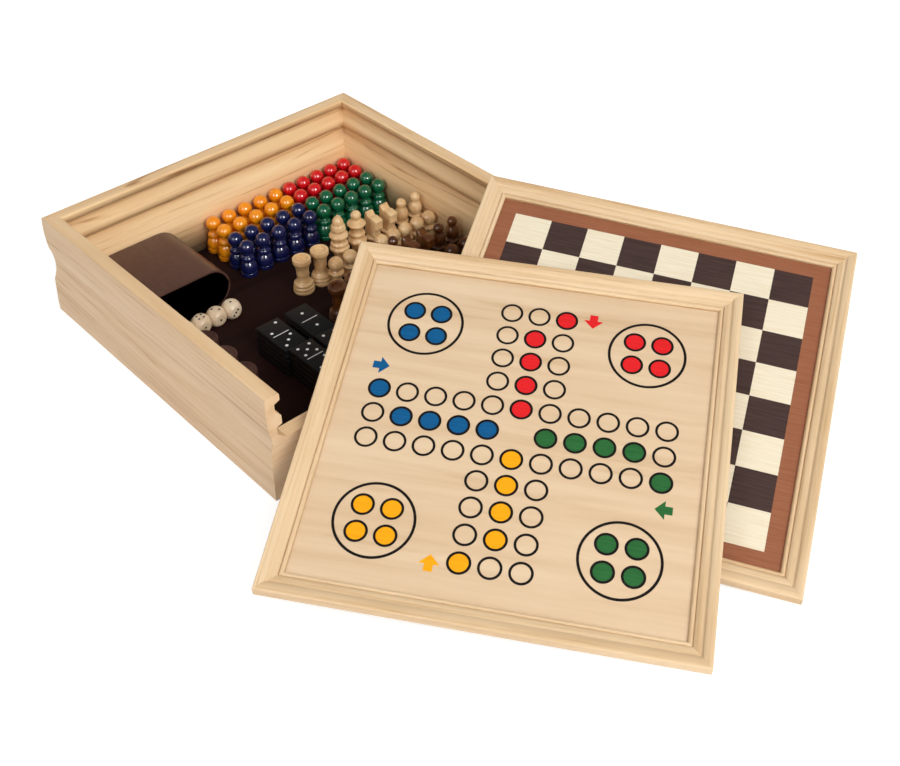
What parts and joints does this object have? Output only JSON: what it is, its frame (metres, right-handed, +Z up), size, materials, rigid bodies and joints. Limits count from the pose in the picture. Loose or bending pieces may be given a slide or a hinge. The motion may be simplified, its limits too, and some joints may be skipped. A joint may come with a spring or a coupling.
{
  "type": "games compendium box",
  "caption": "Open wooden box of board games with two printed boards leaning on its low front wall, and halma pins, chessmen, dominoes, draughts, dice and a dice cup inside",
  "frame": {"origin": "centre of the box's square base, on the surface that it stands on", "axes": "+Z up; -Y is the low front wall that the boards lean over; +X is the right wall, seen from the front"},
  "size_m": [0.488, 0.6014, 0.1131],
  "materials": {
    "box_wood": "satin",
    "base_dark": "matt dark stain",
    "frame_pine": "satin",
    "ludo_ply": "satin, printed",
    "chess_ply": "satin, printed",
    "pin_orange": "gloss paint",
    "pin_red": "gloss paint",
    "pin_green": "gloss paint",
    "pin_blue": "gloss paint",
    "chess_light": "clear lacquer",
    "chess_dark": "gloss lacquer",
    "domino_black": "satin paint",
    "draught_dark": "satin lacquer",
    "draught_light": "satin lacquer",
    "die_wood": "satin",
    "cup_brown": "satin"
  },
  "bodies": {
    "box": {"base_panel": "base_dark", "wall_back": "box_wood", "wall_front": "box_wood", "wall_left": "box_wood", "wall_right": "box_wood"},
    "ludo_board": {"ludo_rail_near": "frame_pine", "ludo_rail_right": "frame_pine", "ludo_rail_far": "frame_pine", "ludo_rail_left": "frame_pine", "ludo_panel": "ludo_ply"},
    "chess_board": {"chess_rail_near": "frame_pine", "chess_rail_right": "frame_pine", "chess_rail_far": "frame_pine", "chess_rail_left": "frame_pine", "chess_panel": "chess_ply"},
    "halma_pins_orange": {"pins_orange": "pin_orange"},
    "halma_pins_red": {"pins_red": "pin_red"},
    "halma_pins_blue": {"pins_blue": "pin_blue"},
    "halma_pins_green": {"pins_green": "pin_green"},
    "light_chessmen": {"light_rooks": "chess_light", "light_king": "chess_light", "light_queen": "chess_light", "light_knights": "chess_light", "light_bishops": "chess_light", "light_pawns": "chess_light"},
    "dark_chessmen": {"dark_rooks": "chess_dark", "dark_king": "chess_dark", "dark_queen": "chess_dark", "dark_knights": "chess_dark", "dark_bishops": "chess_dark", "dark_pawns": "chess_dark"},
    "dominoes_open": {"domino_stack_1": "domino_black", "domino_stack_2": "domino_black", "domino_stack_3": "domino_black"},
    "dominoes_under_board": {"domino_stack_4": "domino_black", "domino_stack_5": "domino_black", "domino_stack_6": "domino_black"},
    "dark_draughts": {"draughts_dark": "draught_dark"},
    "light_draughts": {"draughts_light": "draught_light"},
    "single_die_1": {"die_1": "die_wood"},
    "single_die_2": {"die_2": "die_wood"},
    "single_die_3": {"die_3": "die_wood"},
    "single_die_4": {"die_4": "die_wood"},
    "single_die_5": {"die_5": "die_wood"},
    "cup": {"dice_cup": "cup_brown"}
  },
  "joints": [
    {"name": "ludo_board_lift", "type": "slide", "parent": "box", "child": "ludo_board", "axis": [0, 0, 1], "range_m": [0, 0.12]},
    {"name": "chess_board_slide", "type": "slide", "parent": "box", "child": "chess_board", "axis": [0.7213, -0.6927, 0], "range_m": [0, 0.2]},
    {"name": "halma_pins_orange_lift", "type": "slide", "parent": "box", "child": "halma_pins_orange", "axis": [0, 0, 1], "range_m": [0, 0.1]},
    {"name": "halma_pins_red_lift", "type": "slide", "parent": "box", "child": "halma_pins_red", "axis": [0, 0, 1], "range_m": [0, 0.1]},
    {"name": "halma_pins_blue_lift", "type": "slide", "parent": "box", "child": "halma_pins_blue", "axis": [0, 0, 1], "range_m": [0, 0.1]},
    {"name": "halma_pins_green_lift", "type": "slide", "parent": "box", "child": "halma_pins_green", "axis": [0, 0, 1], "range_m": [0, 0.1]},
    {"name": "light_chessmen_lift", "type": "slide", "parent": "box", "child": "light_chessmen", "axis": [0, 0, 1], "range_m": [0, 0.12]},
    {"name": "dark_chessmen_lift", "type": "slide", "parent": "box", "child": "dark_chessmen", "axis": [0, 0, 1], "range_m": [0, 0.12]},
    {"name": "dominoes_open_lift", "type": "slide", "parent": "box", "child": "dominoes_open", "axis": [0, 0, 1], "range_m": [0, 0.1]},
    {"name": "dominoes_under_board_lift", "type": "slide", "parent": "box", "child": "dominoes_under_board", "axis": [0, 0, 1], "range_m": [0, 0.036]},
    {"name": "dark_draughts_lift", "type": "slide", "parent": "box", "child": "dark_draughts", "axis": [0, 0, 1], "range_m": [0, 0.1]},
    {"name": "light_draughts_lift", "type": "slide", "parent": "box", "child": "light_draughts", "axis": [0, 0, 1], "range_m": [0, 0.1]},
    {"name": "cup_lift", "type": "slide", "parent": "box", "child": "cup", "axis": [0, 0, 1], "range_m": [0, 0.12]},
    {"name": "single_die_1_lift", "type": "slide", "parent": "box", "child": "single_die_1", "axis": [0, 0, 1], "range_m": [0, 0.1]},
    {"name": "single_die_2_lift", "type": "slide", "parent": "box", "child": "single_die_2", "axis": [0, 0, 1], "range_m": [0, 0.1]},
    {"name": "single_die_3_lift", "type": "slide", "parent": "box", "child": "single_die_3", "axis": [0, 0, 1], "range_m": [0, 0.1]},
    {"name": "single_die_4_lift", "type": "slide", "parent": "box", "child": "single_die_4", "axis": [0, 0, 1], "range_m": [0, 0.1]},
    {"name": "single_die_5_lift", "type": "slide", "parent": "box", "child": "single_die_5", "axis": [0, 0, 1], "range_m": [0, 0.1]}
  ]
}
